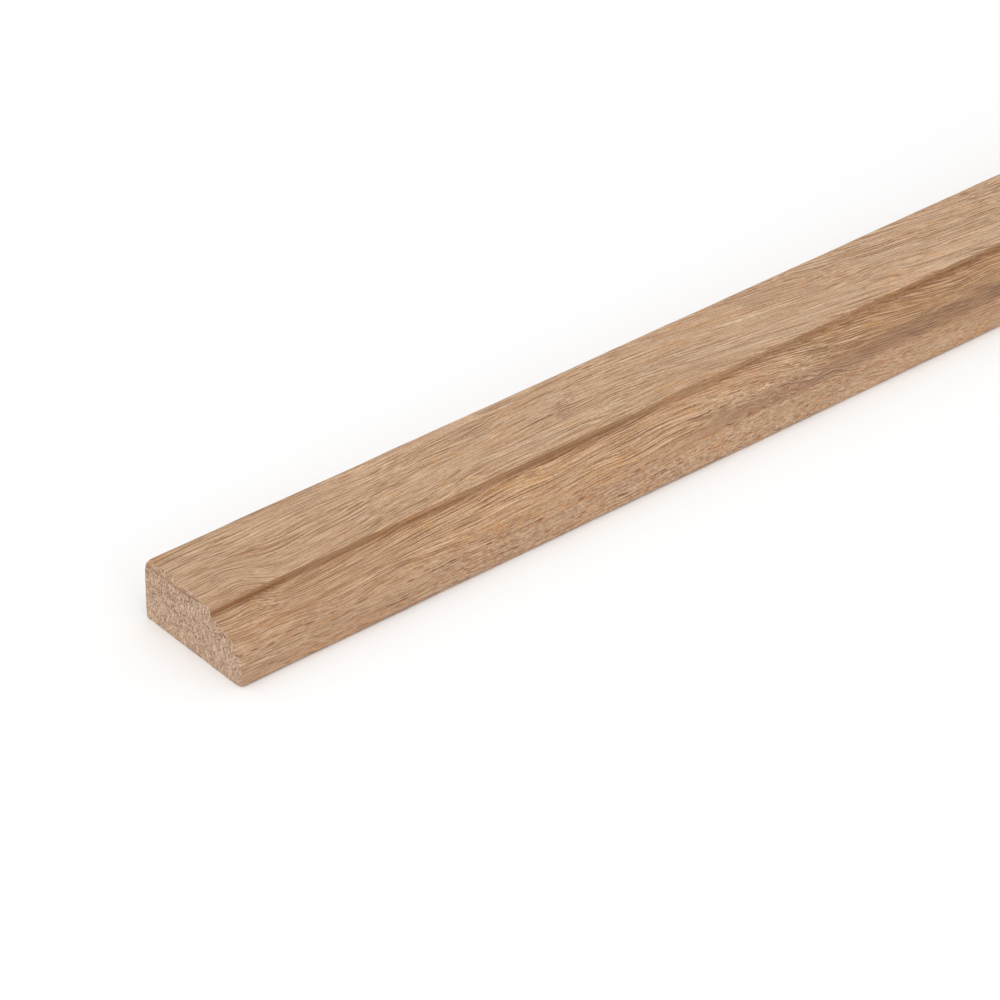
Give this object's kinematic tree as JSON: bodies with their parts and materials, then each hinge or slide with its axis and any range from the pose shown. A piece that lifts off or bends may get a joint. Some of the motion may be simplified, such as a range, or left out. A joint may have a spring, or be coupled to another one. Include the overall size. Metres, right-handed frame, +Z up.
{
  "type": "threshold strip",
  "caption": "Solid oak threshold strip: a broad raised flat with a low step down to a tread that falls forward and rolls over a rounded nose, sawn square at both ends.",
  "frame": {"origin": "middle of the underside, where the strip beds on the floor", "axes": "+X along the strip, +Y from the low rounded nose to the high back edge, +Z up"},
  "size_m": [0.9, 0.045, 0.02],
  "materials": {
    "oak": "planed, unfinished"
  },
  "bodies": {
    "root": {"threshold_strip": "oak"}
  },
  "joints": []
}
